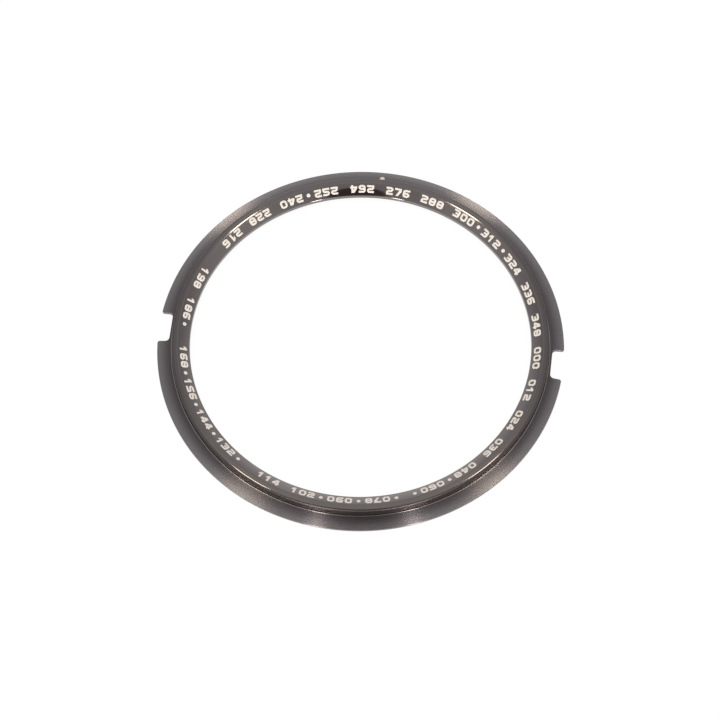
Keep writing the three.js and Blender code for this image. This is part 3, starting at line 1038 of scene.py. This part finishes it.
def make_floor(studio):
    """A wide pale floor just under the flange. What the camera and gloss see of it is mostly even white, with
    a share of shaded white that keeps the soft shadow."""
    reach, drop = 3000 * MM, 0.02 * MM
    corners = reach * np.array([(-1, -1, 0), (1, -1, 0), (1, 1, 0), (-1, 1, 0)]) - [0, 0, drop]
    material, tree = new_material("pale_floor")
    shaded = tree.add("ShaderNodeBsdfDiffuse", {}, {"Color": rgba([studio.floor_white] * 3)})
    even = tree.add("ShaderNodeEmission", {}, {"Color": (1, 1, 1, 1), "Strength": studio.floor_level})
    seen = tree.rays("Is Camera Ray", "Is Glossy Ray", "Is Transmission Ray")
    tree.show(tree.add("ShaderNodeMixShader", {}, {0: studio.floor_even * seen, 1: shaded, 2: even}))
    floor = new_object("floor", corners, [range(len(corners))], material)


def make_lens(studio, camera):
    """The dark round front of the camera, which only reflections see."""
    segments = 48
    angles = np.linspace(0, 2 * math.pi, segments, endpoint=False)
    circle = studio.lens_radius * np.stack([np.cos(angles), np.sin(angles), np.zeros(segments)], axis=-1)
    material, tree = new_material("lens_black")
    tree.show(tree.add("ShaderNodeEmission", {}, {"Color": rgba(studio.lens_front), "Strength": 1.0}))
    lens = new_object("lens_front", circle, [range(segments)], material)
    lens.rotation_mode = "QUATERNION"
    lens.rotation_quaternion = camera_back(studio).to_track_quat("Z", "Y")
    lens.location = camera.location
    lens.visible_camera = False
    lens.visible_diffuse = False
    lens.visible_shadow = False


# Operators


class BEZEL_OT_stage(bpy.types.Operator):
    """Set up the camera, the lamps, the white surround and the floor"""

    bl_idname = "bezel.stage"
    bl_label = "Studio"

    def execute(self, context):
        studio = context.scene.bezel_studio
        context.scene.view_settings.view_transform = "Standard"
        camera = make_camera(studio)
        make_world(studio)
        make_floor(studio)
        make_lens(studio, camera)
        make_lamps(studio)
        return {"FINISHED"}


class BEZEL_OT_scale_ring(bpy.types.Operator):
    """Build the polished scale ring"""

    bl_idname = "bezel.scale_ring"
    bl_label = "Scale Ring"

    def execute(self, context):
        sizes = context.scene.bezel_ring
        points, faces = turned(scale_ring_section(sizes), segments=720)
        material = polished_metal(context.scene.bezel_colours, sizes)
        new_piece("scale_ring_body", points, faces.tolist(), material, ["scale_ring"])
        return {"FINISHED"}


class BEZEL_OT_flange(bpy.types.Operator):
    """Build the satin flange with its notches"""

    bl_idname = "bezel.flange"
    bl_label = "Flange"

    def execute(self, context):
        sizes = context.scene.bezel_flange
        points = flange_points(sizes)
        faces = grid_faces(points.shape[0], points.shape[1], True, True)
        material = satin_metal(context.scene.bezel_colours, sizes)
        new_piece("flange_ring", points, faces.tolist(), material, ["bezel_flange"])
        return {"FINISHED"}


class BEZEL_OT_dots(bpy.types.Operator):
    """Build a fine lacquer dot in the place of each plain one"""

    bl_idname = "bezel.dots"
    bl_label = "Dots"

    def execute(self, context):
        sizes = context.scene.bezel_lacquer
        flange = context.scene.bezel_flange
        material = lacquer(context.scene.bezel_colours)
        brim = math.atan2(flange.seam_height - flange.rim_height, flange.rim_radius - ring_seam(flange))
        _, face_centre, face_radius = crest_profile(context.scene.bezel_ring)
        for node in sorted(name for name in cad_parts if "dot" in name):
            low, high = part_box(node)
            centre = np.array((low + high) / 2)
            on_flange = node == "index_dot"
            outward = unit(centre[:2])
            reach = float(np.hypot(*centre[:2]))
            rise = -brim if on_flange else math.asin((face_centre[0] - reach) / face_radius)
            normal = np.array([*(-outward * math.sin(rise)), math.cos(rise)])
            diameter = sizes.index_diameter if on_flange else sizes.dot_diameter
            points, faces = dot_points(centre, normal, diameter, sizes.thickness, sizes.edge)
            new_piece("lacquer_" + node, points, faces, material, [node])
        return {"FINISHED"}


class BEZEL_OT_figures(bpy.types.Operator):
    """Build the lacquer figures, plain degrees of the circle, at their steps, once the dots are there"""

    bl_idname = "bezel.figures"
    bl_label = "Figures"

    def execute(self, context):
        ring = context.scene.bezel_ring
        sizes = context.scene.bezel_lacquer
        material = bpy.data.materials["cream_lacquer"]
        solids = {digit: flat_solid(outlines, sizes) for digit, outlines in digit_outlines(sizes).items()}
        pitch = sizes.digit_width + sizes.digit_gap
        for step in FIGURE_STEPS:
            text = "%03d" % (step * 360 // STEPS_PER_TURN)
            points, faces, start = [], [], 0
            for order, digit in enumerate(text):
                flat, flat_faces = solids[digit]
                points.append(flat + [(order - 1) * pitch, 0, 0])
                faces += [[corner + start for corner in face] for face in flat_faces]
                start += len(flat)
            outward = step not in INWARD_STEPS
            laid = lay_on_face(np.vstack(points), step, outward, ring, sizes.place_share)
            new_piece("figure_" + text, laid, faces, material)
        return {"FINISHED"}


class BEZEL_PT_panel(bpy.types.Panel):
    """Lists what builds the bezel"""

    bl_idname = "BEZEL_PT_panel"
    bl_label = "Watch Bezel"
    bl_space_type = "VIEW_3D"
    bl_region_type = "UI"
    bl_category = "Bezel"

    def draw(self, context):
        for operator in OPERATORS:
            self.layout.operator(operator.bl_idname)


GROUPS = {
    "bezel_ring": ScaleRingSizes,
    "bezel_flange": FlangeSizes,
    "bezel_lacquer": LacquerSizes,
    "bezel_colours": FinishColours,
    "bezel_studio": StudioSettings,
}
OPERATORS = (BEZEL_OT_stage, BEZEL_OT_scale_ring, BEZEL_OT_flange, BEZEL_OT_dots, BEZEL_OT_figures)


def register():
    for group in GROUPS.values():
        bpy.utils.register_class(group)
    for name, group in GROUPS.items():
        setattr(bpy.types.Scene, name, PointerProperty(type=group))
    for operator in OPERATORS:
        bpy.utils.register_class(operator)
    bpy.utils.register_class(BEZEL_PT_panel)


def unregister():
    bpy.utils.unregister_class(BEZEL_PT_panel)
    for operator in reversed(OPERATORS):
        bpy.utils.unregister_class(operator)
    for name in reversed(GROUPS):
        delattr(bpy.types.Scene, name)
    for group in reversed(GROUPS.values()):
        bpy.utils.unregister_class(group)


def main():
    register()
    bpy.ops.bezel.stage()
    bpy.ops.bezel.scale_ring()
    bpy.ops.bezel.flange()
    bpy.ops.bezel.dots()
    bpy.ops.bezel.figures()


if __name__ == "__main__":
    main()
